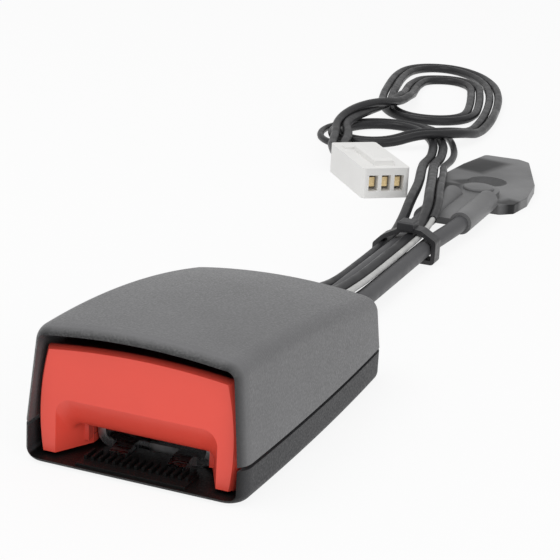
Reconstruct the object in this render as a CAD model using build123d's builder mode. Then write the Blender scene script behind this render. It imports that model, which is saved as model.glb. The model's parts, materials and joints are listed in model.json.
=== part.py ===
from build123d import *

# Seat belt buckle: a push button head on a twin rope stalk with an anchor plate,
# and three switch leads that end in a connector. Millimetres, +Z up.
# X runs across the head, +Y from the mouth towards the anchor plate.
# The origin is on the underside of the head, at the middle of its length and width.

import os
from math import atan2, cos, degrees, radians, sin, sqrt, tan

os.makedirs("parts", exist_ok=True)

# ---------------------------------------------------------------- driving sizes

# Head casing
head_length = 79.0
head_width = 47.0  # across the mouth, at the seam
rear_width = 48.0
side_bow = 0.9
head_height = 29.4  # on the centre line, at the mouth
rear_drop = 9.3  # the roof falls this much from mouth to rear
roof_crown = 2.0  # the roof falls this much from its middle to its sides
seam_height = 7.6
side_draft = 2.1  # each side leans in this much from seam to roof
front_lean = 0.8
rear_lean = 1.4
plan_corner = 4.6
roof_round = 3.8
base_round = 2.4
side_wall = 1.75
roof_wall = 1.7
floor_wall = 1.2
seam_gap = 0.8
lip_wall = 0.9
lip_height = 1.8
lip_start = 27.0  # behind the mouth
lip_clearance = 0.35

# Tongue that the buckle takes
tongue_width = 21.5
tongue_thickness = 3.0
tongue_side_clearance = 0.15
tongue_roof_clearance = 1.5

# Steel frame
frame_sheet = 1.8
frame_front = 7.8  # behind the mouth, as are all stations below
flange_front = 12.2
frame_rear = head_length - 4.0
flange_end = 62.0
flange_height = 6.0  # above the casing floor
post_height = 14.4
bend_inside = 1.2
prong_front = 8.6
prong_inner = 4.4
prong_outer = 8.2
prong_notch = 0.8
throat_depth = 14.0
pivot_station = 50.0
pivot_height = 10.4
pivot_diameter = 4.0
post_half_length = 4.2
tooth_station = 24.2  # front face of the latch tooth
tooth_length = 3.0
tooth_width = 10.8
window_margin = 0.5
window_front_margin = 2.4

# Latch plate
latch_sheet = 2.0
latch_width = 18.8
latch_underside = 8.0
latch_lift = 12.0  # degrees
lug_station = 33.0
lug_length = 4.0
lug_reach = 15.0
knuckle_wall = 1.6
running_clearance = 0.05

# Push button
button_travel = 5.5
button_recess = 3.0
button_end = 20.0
button_top = head_height - 4.8
button_shoulder = head_height - 6.0  # height of the top edge at each side
button_foot = 1.9
button_top_half = head_width / 2 - 3.9
button_waist_half = head_width / 2 - 2.25
button_waist = 11.9
button_foot_half = head_width / 2 - 2.9
button_wall = 1.8
button_front_wall = 5.6
button_chamfer_back = 2.5
button_side_round = 0.9
button_step = 1.6  # the top steps down behind its brow
button_foot_round = 3.0
button_floor_end = 13.0
slot_clearance = 0.2
slot_round = 0.6
dish_spread = 4.2
dish_rise = 5.9
dish_depth = 3.6  # of the slot's top edge
flank_depth = 7.9  # of its sides
guide_wall_end = 11.0
arm_thickness = 2.2
arm_clearance = 0.3
arm_end = 40.0
arm_underside = 3.0
ramp_gap = 0.25
hook_station = 21.8
hook_length = 2.2
hook_reach = 2.0
catch_length = 2.0

# Return springs
button_spring_diameter = 4.4
button_spring_wire = 0.55
button_spring_end = 52.0
ejector_spring_diameter = 4.4
ejector_spring_wire = 0.5
latch_spring_diameter = 6.0
latch_spring_wire = 0.7
plunger_spring_diameter = 2.4
plunger_spring_wire = 0.3
spring_stop_length = 1.8

# Ejector
ejector_front = 28.3
ejector_length = 7.7
ejector_travel = 8.0
ejector_lift = 0.15
ejector_height = 3.3
slide_clearance = 0.3
keel_half = 2.3
keel_front = 32.3
keel_bottom = 1.5
keel_slot_half = 2.6
keel_slot_end = 60.0
tail_inner = 6.0
tail_outer = 9.4
tail_end = 58.5
plunger_ratio = 0.2

# Spring bridge over the latch
bridge_front = 27.5
bridge_rear = 54.5
bridge_sheet = 2.0
bridge_underside = 16.5
bridge_cheek = 1.5
cup_height = 2.0
cup_wall = 1.2
cup_depth = 2.5

# Switch
switch_front = 54.4
switch_rear = 62.0
switch_inner = 2.9
switch_outer = 10.5
switch_top = 11.9
switch_lid = 1.2
switch_wall = 1.2
switch_floor = 8.2
plunger_x = 7.4
plunger_station = 57.3
plunger_diameter = 2.2
plunger_flange = 1.0
contact_sheet = 0.5
contact_gap = 0.1
contact_width = 1.4
contact_pitch = 2.5
contact_tail = 65.5

# Rear exit, rope fitting and stalk
exit_width = 24.0
exit_top = 12.6
grommet_front = head_length - 3.6
grommet_rear = head_length + 0.8
rivet_station = head_length - 9.0
rivet_diameter = 6.0
rivet_head = 9.6
fitting_sheet = 2.0
fitting_width = 13.2
rope_diameter = 4.6
rope_spacing = 7.4  # centre to centre, at the head
clamp_spacing = 11.0  # the same at the anchor plate
rope_height = 4.0
sleeve_wall = 1.0
sleeve_front = head_length + 1.2
sleeve_end = head_length + 14.0
rope_front = head_length + 3.0
stalk_shift = 2.0  # the stalk lies this far to the right between its ends
clamp_shift = 1.6
clamp_front = 197.0
clamp_end = 226.0
clamp_rivet = 235.0
rope_rear = 224.0

# Anchor plate
plate_sheet = 3.0
bolt_hole = 12.5
bolt_x = -0.4
bolt_station = 253.0
plate_front = 226.5

# Leads
lead_diameter = 3.2
wire_diameter = 1.6
lead_bend = 9.6  # tightest bend of a lead, three diameters
hank_height = 9.6
tie_front = 165.0
tie_width = 4.6
tie_strap = 1.2

# Connector
connector_x = -46.5
connector_station = 252.5
connector_heading = -52.0
connector_length = 34.0
connector_width = 15.4
connector_height = 9.6
connector_wall = 1.3
cavity_pitch = 4.2
cavity_depth = 12.0

# ---------------------------------------------------------------- derived places

front = -head_length / 2
rear = head_length / 2
floor_top = floor_wall
plate_top = floor_top + frame_sheet
channel_half = tongue_width / 2 + tongue_side_clearance
flange_half = channel_half + frame_sheet
flange_top = floor_top + flange_height
slot_top = plate_top + tongue_thickness + tongue_roof_clearance
arm_inner = flange_half + arm_clearance
arm_outer = arm_inner + arm_thickness
roof_radius = (head_length**2 + rear_drop**2) / (2 * rear_drop)
roof_axis_height = head_height - roof_radius
crown_radius = ((head_width / 2) ** 2 + roof_crown**2) / (2 * roof_crown)
swing = degrees(atan2(head_length, roof_radius))
spring_x = arm_inner + 0.8 + button_spring_diameter / 2
spring_z = (arm_underside + flange_top) / 2
ejector_bottom = plate_top + ejector_lift
ejector_top = ejector_bottom + ejector_height
ejector_rear = ejector_front + ejector_length
ejector_spring_z = ejector_top - ejector_spring_diameter / 2


def at(station):
    """The Y of a point that lies this far behind the mouth."""
    return front + station


def across(station):
    """An upright plane across the head, drawn with X to the right and Z up."""
    return Plane.XZ.offset(-at(station))


def side_plane(x):
    """An upright plane along the head, drawn with Y to the right and Z up."""
    return Plane.YZ.offset(x)


def slab(x_low, x_high, station_low, station_high, z_low, z_high):
    """A plain block between two corners, kept out of any open part."""
    with BuildPart() as block:
        with BuildSketch(Plane.XY.offset(z_low)):
            with Locations(((x_low + x_high) / 2, at((station_low + station_high) / 2))):
                Rectangle(x_high - x_low, station_high - station_low)
        extrude(amount=z_high - z_low)
    return block.part


def pair(x_low, x_high, station_low, station_high, z_low, z_high):
    """Two such blocks, one on each side of the middle."""
    right = slab(x_low, x_high, station_low, station_high, z_low, z_high)
    return [right, right.mirror(Plane.YZ)]


def round_bar(x, station_low, station_high, z, diameter):
    """A round bar along Y."""
    with BuildPart() as bar:
        with BuildSketch(across(station_low)):
            with Locations((x, z)):
                Circle(diameter / 2)
        extrude(amount=station_low - station_high)
    return bar.part


def coil(start, end, diameter, wire, turns):
    """A round wire spring between two points, its ends inside those points."""
    start, end = Vector(*start), Vector(*end)
    along = (end - start).normalized()
    length = (end - start).length - wire
    centre = start + along * (wire / 2)
    with BuildPart() as spring:
        with BuildLine() as path:
            Helix(length / turns, length, (diameter - wire) / 2, center=centre, direction=along)
        with BuildSketch(Plane(origin=path.line @ 0, z_dir=path.line % 0)):
            Circle(wire / 2)
        sweep(path=path.line, is_frenet=True)
    return spring.part


def save(part, name):
    """Labels a finished piece and writes its file."""
    part.label = name
    export_step(part, f"parts/{name}.step")


# ---------------------------------------------------------------- head casing


def lean(height, amount):
    """How far a wall that leans in by amount has come in at this height."""
    return amount * (height - seam_height) / (head_height - seam_height)


def head_section(height, inset, front_edge, rear_edge, corners, corner):
    """The head's outline in plan, drawn in by inset, with its rearmost corners rounded."""
    half_front = head_width / 2 - inset
    half_rear = rear_width / 2 - inset
    half_middle = (half_front + half_rear) / 2 + side_bow
    middle = (front_edge + rear_edge) / 2
    with BuildSketch(Plane.XY.offset(height)) as section:
        with BuildLine():
            Line((-half_front, front_edge), (half_front, front_edge))
            ThreePointArc((half_front, front_edge), (half_middle, middle), (half_rear, rear_edge))
            Line((half_rear, rear_edge), (-half_rear, rear_edge))
            ThreePointArc((-half_rear, rear_edge), (-half_middle, middle), (-half_front, front_edge))
        make_face()
        fillet(section.vertices().sort_by(Axis.Y)[-corners:], corner)
    return section.sketch


def under_roof(drop):
    """All that lies under the crowned roof surface, lowered by drop."""
    radius = roof_radius - drop
    start = radians(3)
    reach = head_width
    fall = crown_radius - sqrt(crown_radius**2 - reach**2)
    plane = Plane(
        origin=(0, front - radius * sin(start), roof_axis_height + radius * cos(start)),
        x_dir=(1, 0, 0),
        z_dir=(0, -cos(start), -sin(start)),
    )
    with BuildPart() as space:
        with BuildSketch(plane):
            with BuildLine():
                ThreePointArc((-reach, -fall), (0, 0), (reach, -fall))
                Polyline((reach, -fall), (reach, -head_width), (-reach, -head_width), (-reach, -fall))
            make_face()
        revolve(axis=Axis((0, front, roof_axis_height), (-1, 0, 0)), revolution_arc=swing + 6)
    return space.part


upper_low = seam_height + seam_gap / 2
lower_high = seam_height - seam_gap / 2
sky = head_height + 1.0
hollow_corner = plan_corner - side_wall

with BuildPart() as upper_shape:
    loft(
        [
            head_section(upper_low, 0, front, rear, 4, plan_corner),
            head_section(
                sky,
                lean(sky, side_draft),
                front + lean(sky, front_lean),
                rear - lean(sky, rear_lean),
                4,
                plan_corner,
            ),
        ]
    )
    add(under_roof(0), mode=Mode.INTERSECT)
    fillet(upper_shape.faces().sort_by(Axis.Z)[-1].edges(), roof_round)

with BuildPart() as upper_hollow:
    loft(
        [
            head_section(upper_low, side_wall, front - 6, rear - side_wall, 2, hollow_corner),
            head_section(
                sky,
                side_wall + lean(sky, side_draft),
                front - 6,
                rear - side_wall - lean(sky, rear_lean),
                2,
                hollow_corner,
            ),
        ]
    )
    add(under_roof(roof_wall), mode=Mode.INTERSECT)
    fillet(
        upper_hollow.faces().sort_by(Axis.Z)[-1].edges().sort_by(Axis.Y)[1:],
        roof_round - side_wall,
    )

exit_cut = slab(
    -exit_width / 2,
    exit_width / 2,
    grommet_front - 1,
    head_length + 2,
    floor_top,
    exit_top,
)

with BuildPart() as upper_cover:
    add(upper_shape.part)
    add(upper_hollow.part, mode=Mode.SUBTRACT)
    add(exit_cut, mode=Mode.SUBTRACT)
save(upper_cover.part, "upper_cover")

with BuildPart() as lower_shape:
    add(head_section(0, 0, front, rear, 4, plan_corner))
    extrude(amount=lower_high)
    fillet(lower_shape.edges().group_by(Axis.Z)[0], base_round)

with BuildPart() as lower_hollow:
    add(head_section(floor_top, side_wall, front - 6, rear - side_wall, 2, hollow_corner))
    extrude(amount=head_height)
    fillet(lower_hollow.faces().sort_by(Axis.Z)[0].edges().sort_by(Axis.Y)[1:], base_round - floor_wall)


def lip_ring(low, high, outside):
    """The wall of the locating lip between two heights, behind its start."""
    with BuildPart() as ring:
        add(head_section(low, outside, at(lip_start), rear - outside, 2, plan_corner - outside))
        extrude(amount=high - low)
    with BuildPart() as core:
        inside = side_wall + lip_clearance + lip_wall
        add(head_section(low, inside, at(lip_start) - 1, rear - inside, 2, plan_corner - inside))
        extrude(amount=high - low)
    return ring.part - core.part


peg_diameter = button_spring_diameter - 2 * button_spring_wire - 0.6
catch_inner = arm_outer + slot_clearance
catch_front = hook_station - slide_clearance - catch_length
with BuildPart() as lower_cover:
    add(lower_shape.part)
    add(lower_hollow.part, mode=Mode.SUBTRACT)
    add(lip_ring(lower_high / 2, lower_high, side_wall / 2))
    add(lip_ring(lower_high, upper_low + lip_height, side_wall + lip_clearance))
    add(exit_cut, mode=Mode.SUBTRACT)
    add(
        pair(
            flange_half,
            spring_x + button_spring_diameter / 2,
            button_spring_end,
            button_spring_end + spring_stop_length,
            floor_top,
            flange_top,
        )
    )
    add(
        pair(
            catch_inner,
            catch_inner + hook_reach,
            catch_front,
            catch_front + catch_length,
            floor_top,
            arm_underside + 2.5,
        )
    )
    for x in (-spring_x, spring_x):
        add(round_bar(x, button_spring_end - 2.5, button_spring_end, spring_z, peg_diameter))
save(lower_cover.part, "lower_cover")

# ---------------------------------------------------------------- tongue guide

rib_half = 0.28
rib_pitch = 1.55
rib_count = 15
guide_sheet = 0.5
guide_rib_top = 2.5
with BuildPart() as tongue_guide:
    with BuildSketch(Plane.XY.offset(floor_top)):
        with Locations((0, at(4.4))):
            Rectangle(rib_count * rib_pitch, 6.4)
        with Locations((0, at(10.3))):
            Rectangle(2 * (prong_inner - slot_clearance), 6.0)
    extrude(amount=guide_sheet)
    with BuildSketch(Plane.XY.offset(floor_top)):
        with Locations((0, at(5.6))):
            with GridLocations(rib_pitch, 0, rib_count, 1):
                Rectangle(2 * rib_half, 4.0)
    extrude(amount=guide_rib_top - floor_top)
save(tongue_guide.part, "tongue_guide")

# ---------------------------------------------------------------- steel frame

window_front = tooth_station - window_front_margin
window_rear = tooth_station + tooth_length + window_margin
with BuildPart() as frame:
    with BuildSketch(across(frame_front)) as channel:
        with Locations((0, floor_top)):
            Rectangle(2 * flange_half, post_height, align=(Align.CENTER, Align.MIN))
        with Locations((0, plate_top)):
            Rectangle(2 * channel_half, post_height, align=(Align.CENTER, Align.MIN), mode=Mode.SUBTRACT)
        low = channel.vertices().group_by(Axis.Y)[0]
        fillet(low, bend_inside + frame_sheet)
        inner_low = channel.vertices().filter_by(lambda v: abs(v.Y - plate_top) < 0.01)
        fillet(inner_low, bend_inside)
    extrude(amount=frame_front - frame_rear)
    with BuildSketch(side_plane(-head_width / 2)):
        with Locations((at(frame_front), flange_top)):
            Rectangle(
                pivot_station - post_half_length - frame_front,
                post_height,
                align=(Align.MIN, Align.MIN),
            )
        with Locations((at(frame_front), plate_top + bend_inside)):
            Rectangle(flange_front - frame_front, post_height, align=(Align.MIN, Align.MIN))
        with Locations((at(flange_end), flange_top)):
            Rectangle(frame_rear - flange_end, post_height, align=(Align.MIN, Align.MIN))
        with Locations((at(pivot_station + post_half_length), flange_top)):
            Rectangle(
                flange_end - pivot_station - post_half_length,
                post_height,
                align=(Align.MIN, Align.MIN),
            )
        with Locations((at(flange_end), floor_top - 1)):
            Rectangle(frame_rear - flange_end, post_height, align=(Align.MIN, Align.MIN))
    extrude(amount=head_width, mode=Mode.SUBTRACT)
    with BuildSketch(Plane.XY.offset(floor_top)):
        with Locations((0, at(flange_end))):
            Rectangle(2 * (channel_half - bend_inside - 0.8), frame_rear - flange_end, align=(Align.CENTER, Align.MIN))
    extrude(amount=frame_sheet)
    add(pair(prong_outer + prong_notch, flange_half + 1, frame_front - 1, flange_front, floor_top - 1, flange_top + 1), mode=Mode.SUBTRACT)
    with BuildSketch(Plane.XY.offset(floor_top)):
        with Locations((0, at(frame_front))):
            Rectangle(
                2 * (prong_outer + prong_notch),
                prong_front - frame_front,
                align=(Align.CENTER, Align.MIN),
            )
            Rectangle(2 * prong_inner, throat_depth - frame_front, align=(Align.CENTER, Align.MIN))
        for x in (-prong_outer - prong_notch / 2, prong_outer + prong_notch / 2):
            with Locations((x, at(frame_front))):
                Rectangle(prong_notch, 4.2, align=(Align.CENTER, Align.MIN))
        with Locations((0, at(window_front))):
            Rectangle(
                tooth_width + 2 * window_margin,
                window_rear - window_front,
                align=(Align.CENTER, Align.MIN),
            )
        with Locations((0, at(keel_front - slide_clearance))):
            Rectangle(
                2 * keel_slot_half,
                keel_slot_end - keel_front + slide_clearance,
                align=(Align.CENTER, Align.MIN),
            )
    extrude(amount=frame_sheet, mode=Mode.SUBTRACT)
    with BuildSketch(side_plane(-prong_outer)):
        with BuildLine():
            Polyline(
                (at(prong_front), plate_top - 0.9),
                (at(prong_front), plate_top + 0.2),
                (at(prong_front + 3), plate_top + 0.2),
                (at(prong_front + 3), plate_top),
                close=True,
            )
        make_face()
    extrude(amount=2 * prong_outer, mode=Mode.SUBTRACT)
    with BuildSketch(Plane.XY.offset(plate_top - frame_sheet)):
        with Locations((0, at(keel_slot_end))):
            Rectangle(2 * (keel_slot_half - 0.4), frame_sheet, align=(Align.CENTER, Align.MIN))
    extrude(amount=7 - floor_top)
    with BuildSketch(side_plane(-head_width / 2)):
        with Locations((at(pivot_station), pivot_height)):
            Circle(pivot_diameter / 2)
    extrude(amount=head_width, mode=Mode.SUBTRACT)
    with BuildSketch(Plane.XY.offset(floor_top)):
        with Locations((0, at(rivet_station))):
            Circle(rivet_diameter / 2)
    extrude(amount=frame_sheet, mode=Mode.SUBTRACT)
save(frame.part, "frame")

# ---------------------------------------------------------------- latch

knuckle_radius = pivot_diameter / 2 + running_clearance + knuckle_wall
with BuildPart() as latch_plate:
    with BuildSketch(side_plane(-latch_width / 2)):
        with Locations((at(tooth_station), latch_underside)):
            Rectangle(pivot_station - tooth_station, latch_sheet, align=(Align.MIN, Align.MIN))
    extrude(amount=latch_width)
    with BuildSketch(side_plane(-tooth_width / 2)):
        with BuildLine():
            Polyline(
                (at(tooth_station), latch_underside),
                (at(tooth_station + 1.6), plate_top - 1.5),
                (at(tooth_station + tooth_length), plate_top - 1.5),
                (at(tooth_station + tooth_length), latch_underside),
                close=True,
            )
        make_face()
    extrude(amount=tooth_width)
    with BuildSketch(side_plane(-lug_reach)):
        with Locations((at(lug_station), latch_underside + latch_sheet / 2)):
            Rectangle(lug_length, latch_sheet)
    extrude(amount=2 * lug_reach)
    with BuildSketch(side_plane(-channel_half + 0.4)):
        with Locations((at(pivot_station), pivot_height)):
            Circle(knuckle_radius)
    extrude(amount=2 * channel_half - 0.8)
    with BuildSketch(side_plane(-head_width / 2)):
        with Locations((at(pivot_station), pivot_height)):
            Circle(pivot_diameter / 2 + running_clearance)
    extrude(amount=head_width, mode=Mode.SUBTRACT)
save(latch_plate.part, "latch_plate")

cheek_outer = flange_half + bridge_cheek
with BuildPart() as latch_pin:
    with BuildSketch(side_plane(-cheek_outer)):
        with Locations((at(pivot_station), pivot_height)):
            Circle(pivot_diameter / 2)
    extrude(amount=2 * cheek_outer)
    chamfer(latch_pin.edges().filter_by(GeomType.CIRCLE), 0.3)
save(latch_pin.part, "latch_pin")

bridge_top = bridge_underside + bridge_sheet
cup_outer = latch_spring_diameter / 2 + 0.2 + cup_wall
with BuildPart() as spring_bridge:
    with BuildSketch(Plane.XY.offset(bridge_underside)):
        with Locations((0, at(bridge_front))):
            Rectangle(2 * cheek_outer, bridge_rear - bridge_front, align=(Align.CENTER, Align.MIN))
    extrude(amount=bridge_sheet)
    with BuildSketch(Plane.XY.offset(bridge_top)):
        with Locations((0, at(lug_station))):
            Circle(cup_outer)
    extrude(amount=cup_height)
    with BuildSketch(Plane.XY.offset(bridge_underside)):
        with Locations((0, at(lug_station))):
            Circle(latch_spring_diameter / 2 + 0.2)
    extrude(amount=cup_depth, mode=Mode.SUBTRACT)
    add(
        pair(
            flange_half,
            cheek_outer,
            pivot_station - post_half_length,
            pivot_station + post_half_length,
            flange_top + 0.8,
            bridge_underside,
        )
    )
    add(
        pair(
            channel_half,
            flange_half,
            pivot_station - post_half_length,
            pivot_station + post_half_length,
            floor_top + post_height,
            bridge_underside,
        )
    )
    with BuildSketch(side_plane(-head_width / 2)):
        with Locations((at(pivot_station), pivot_height)):
            Circle(pivot_diameter / 2)
    extrude(amount=head_width, mode=Mode.SUBTRACT)
save(spring_bridge.part, "spring_bridge")

latch_spring = coil(
    (0, at(lug_station), latch_underside + latch_sheet),
    (0, at(lug_station), bridge_underside + cup_depth),
    latch_spring_diameter,
    latch_spring_wire,
    5.5,
)
save(latch_spring, "latch_spring")

# ---------------------------------------------------------------- push button

slot_half = flange_half + slot_clearance


def button_outline(station, inset, floor_height, drop):
    """The button seen from the front, drawn in by inset and with its top lowered by drop."""
    top_half = button_top_half - inset
    shoulder = button_shoulder - inset - drop
    waist = (button_waist_half - inset, button_waist)
    foot_half = button_foot_half - inset
    with BuildSketch(across(station)) as outline:
        with BuildLine():
            ThreePointArc((-top_half, shoulder), (0, button_top - inset - drop), (top_half, shoulder))
            ThreePointArc((top_half, shoulder), waist, (foot_half, floor_height))
            Line((foot_half, floor_height), (-foot_half, floor_height))
            ThreePointArc((-foot_half, floor_height), (-waist[0], waist[1]), (-top_half, shoulder))
        make_face()
    return outline.sketch


def mouth_section(depth):
    """The slot's outline at a depth behind the button's face, flared towards the face."""
    side_share = 1 - depth / flank_depth
    top_share = max(0, 1 - depth / dish_depth) ** 1.35
    with BuildSketch(across(button_recess + depth)) as section:
        with Locations((0, slot_top + top_share * dish_rise)):
            Rectangle(
                2 * (slot_half + side_share * dish_spread),
                slot_top + top_share * dish_rise + 3,
                align=(Align.CENTER, Align.MAX),
            )
        fillet(section.vertices().group_by(Axis.Y)[-1], slot_round + side_share * 2.6)
    return section.sketch


with BuildPart() as flare:
    loft([mouth_section(share * dish_depth) for share in (0, 0.25, 0.55, 0.8, 1)])
    loft([mouth_section(dish_depth), mouth_section(flank_depth)], ruled=True)
    add(slab(-slot_half, slot_half, button_recess + flank_depth - 0.01, button_end, -1, slot_top))

with BuildPart() as button_hollow:
    add(button_outline(button_recess, button_wall, button_foot + button_wall, button_step))
    extrude(amount=button_end - button_recess, dir=(0, 1, 0))

lug_front = lug_station - lug_length / 2
arm_reach = pivot_station - lug_front
lug_drop = pivot_height - latch_underside
lift = radians(latch_lift)
lug_rise = arm_reach * sin(lift) - lug_drop * cos(lift) + lug_drop
ramp_low = latch_underside - ramp_gap
with BuildPart() as press_button:
    button_brow = button_recess + button_chamfer_back
    loft(
        [
            button_outline(button_recess, button_side_round, button_foot, -0.6),
            button_outline(button_recess + 0.3 * button_chamfer_back, 0.42 * button_side_round, button_foot, -0.3),
            button_outline(button_brow, 0, button_foot, 0),
        ]
    )
    add(button_outline(button_brow, 0, button_foot, button_step))
    extrude(amount=button_end - button_brow, dir=(0, 1, 0))
    add(
        button_hollow.part & slab(
            -head_width / 2,
            head_width / 2,
            button_recess + button_front_wall,
            button_end,
            0,
            head_height,
        ),
        mode=Mode.SUBTRACT,
    )
    add(
        slab(
            -button_foot_half + button_wall,
            button_foot_half - button_wall,
            button_floor_end,
            button_end,
            0,
            button_foot + button_wall + 0.1,
        ),
        mode=Mode.SUBTRACT,
    )
    add(
        slab(
            -slot_half - button_wall - 0.8,
            slot_half + button_wall + 0.8,
            button_recess + button_front_wall,
            guide_wall_end,
            button_foot,
            slot_top + button_wall,
        )
    )
    add(flare.part, mode=Mode.SUBTRACT)
    add(pair(arm_inner, arm_outer, button_recess + button_front_wall + 0.4, arm_end, arm_underside, flange_top))
    for side in (-1, 1):
        with BuildSketch(side_plane(side * (arm_inner + arm_outer) / 2)):
            with BuildLine():
                Polyline(
                    (at(lug_front - button_travel - 2), arm_underside + 1),
                    (at(lug_front - button_travel - 2), ramp_low + lug_rise),
                    (at(lug_front - button_travel), ramp_low + lug_rise),
                    (at(lug_front + 1), ramp_low - lug_rise / button_travel),
                    (at(lug_front + 1), arm_underside + 1),
                    close=True,
                )
            make_face()
        extrude(amount=arm_thickness / 2, both=True)
        add(round_bar(side * spring_x, arm_end, arm_end + 2.5, spring_z, peg_diameter))
    add(pair(arm_inner, spring_x + button_spring_diameter / 2, arm_end - 2, arm_end, arm_underside, flange_top))
    add(
        pair(
            arm_outer,
            arm_outer + hook_reach,
            hook_station,
            hook_station + hook_length,
            arm_underside,
            arm_underside + 2.5,
        )
    )
save(press_button.part, "press_button")

button_springs = [
    coil(
        (x, at(arm_end), spring_z),
        (x, at(button_spring_end), spring_z),
        button_spring_diameter,
        button_spring_wire,
        7,
    )
    for x in (-spring_x, spring_x)
]
save(Compound(children=button_springs), "button_springs")

# ---------------------------------------------------------------- ejector

ramp_high = ejector_top
ramp_fall = plunger_ratio * ejector_travel
tail_ramp_end = plunger_station
tail_ramp_front = tail_ramp_end - ejector_travel
tail_tip = ramp_high - ramp_fall - plunger_ratio * (tail_end - tail_ramp_end)
with BuildPart() as ejector:
    add(
        slab(
            -channel_half + slide_clearance,
            channel_half - slide_clearance,
            ejector_front,
            ejector_rear,
            ejector_bottom,
            ejector_top,
        )
    )
    chamfer(ejector.edges().filter_by(Axis.Y).group_by(Axis.Z)[0], bend_inside)
    add(slab(-keel_half, keel_half, keel_front, ejector_rear, keel_bottom, ejector_bottom))
    with BuildSketch(side_plane(tail_inner)):
        with BuildLine():
            Polyline(
                (at(ejector_rear), ejector_bottom),
                (at(ejector_rear), ramp_high),
                (at(tail_ramp_front), ramp_high),
                (at(tail_end), tail_tip),
                (at(tail_end), ejector_bottom),
                close=True,
            )
        make_face()
    extrude(amount=tail_outer - tail_inner)
    add(
        round_bar(
            0,
            ejector_rear,
            ejector_rear + 3,
            ejector_spring_z,
            ejector_spring_diameter - 2 * ejector_spring_wire - 0.6,
        )
    )
save(ejector.part, "ejector")

ejector_spring = coil(
    (0, at(ejector_rear), ejector_spring_z),
    (0, at(keel_slot_end), ejector_spring_z),
    ejector_spring_diameter,
    ejector_spring_wire,
    11,
)
save(ejector_spring, "ejector_spring")

# ---------------------------------------------------------------- switch

contact_low = switch_top - contact_sheet
plunger_foot = ramp_high - ramp_fall + plunger_ratio * plunger_diameter / 2 + 0.1
contact_x = [plunger_x - contact_pitch / 2, plunger_x + contact_pitch / 2]
with BuildPart() as switch_housing:
    add(slab(switch_inner, switch_outer, switch_front, switch_rear, plate_top, switch_top))
    chamfer(switch_housing.edges().filter_by(Axis.Y).group_by(Axis.Z)[0].sort_by(Axis.X)[-1], bend_inside)
    add(
        slab(
            tail_inner - 0.4,
            tail_outer + 0.4,
            switch_front,
            switch_rear,
            plate_top,
            ejector_top + 0.4,
        ),
        mode=Mode.SUBTRACT,
    )
    add(
        slab(
            switch_inner + 2,
            switch_outer - 0.8,
            switch_front + switch_wall,
            switch_rear - switch_wall,
            switch_floor,
            switch_top,
        ),
        mode=Mode.SUBTRACT,
    )
    with BuildSketch(Plane.XY.offset(plate_top)):
        with Locations((plunger_x, at(plunger_station))):
            Circle(plunger_diameter / 2 + running_clearance)
    extrude(amount=switch_top, mode=Mode.SUBTRACT)
    for x in contact_x:
        add(
            slab(
                x - contact_width / 2,
                x + contact_width / 2,
                switch_rear - switch_wall,
                switch_rear,
                contact_low,
                switch_top,
            ),
            mode=Mode.SUBTRACT,
        )
save(switch_housing.part, "switch_housing")

with BuildPart() as switch_cover:
    add(slab(switch_inner, switch_outer, switch_front, switch_rear, switch_top, switch_top + switch_lid))
    chamfer(switch_cover.edges().group_by(Axis.Z)[-1], 0.4)
save(switch_cover.part, "switch_cover")

switch_contacts = [
    slab(
        x - contact_width / 2,
        x + contact_width / 2,
        plunger_station + 1.7,
        contact_tail,
        contact_low,
        switch_top,
    )
    for x in contact_x
]
save(Compound(children=switch_contacts), "switch_contacts")

bridge_foot = switch_floor + 0.1 + plunger_flange
bridge_strip_top = contact_low - contact_gap - ramp_fall
with BuildPart() as switch_plunger:
    with BuildSketch(Plane.XY.offset(plunger_foot)):
        with Locations((plunger_x, at(plunger_station))):
            Circle(plunger_diameter / 2)
    extrude(amount=bridge_foot - plunger_foot)
    add(
        slab(
            plunger_x - 2.1,
            plunger_x + 2.1,
            plunger_station - 1.4,
            plunger_station + 3.1,
            switch_floor + 0.1,
            bridge_foot,
        )
    )
save(switch_plunger.part, "switch_plunger")

contact_bridge = slab(
    plunger_x - 2.0,
    plunger_x + 2.0,
    plunger_station + 1.7,
    plunger_station + 3.0,
    bridge_foot,
    bridge_foot + 0.3,
)
save(contact_bridge, "contact_bridge")

plunger_spring = coil(
    (plunger_x, at(plunger_station), bridge_foot),
    (plunger_x, at(plunger_station), switch_top),
    plunger_spring_diameter,
    plunger_spring_wire,
    4,
)
save(plunger_spring, "plunger_spring")

# ---------------------------------------------------------------- stalk


def rivet(x, station, low, high, diameter, head, rise, name):
    """A rivet through a stack, with a flat lower face and a domed head on top."""
    with BuildPart() as body:
        with BuildSketch(Plane.XY.offset(low)):
            with Locations((x, at(station))):
                Circle(diameter / 2)
        extrude(amount=high - low)
        with BuildSketch(Plane.XY.offset(high)):
            with Locations((x, at(station))):
                Circle(head / 2)
        extrude(amount=rise)
        fillet(body.edges().group_by(Axis.Z)[-1], 0.7 * rise)
    save(body.part, name)


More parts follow.
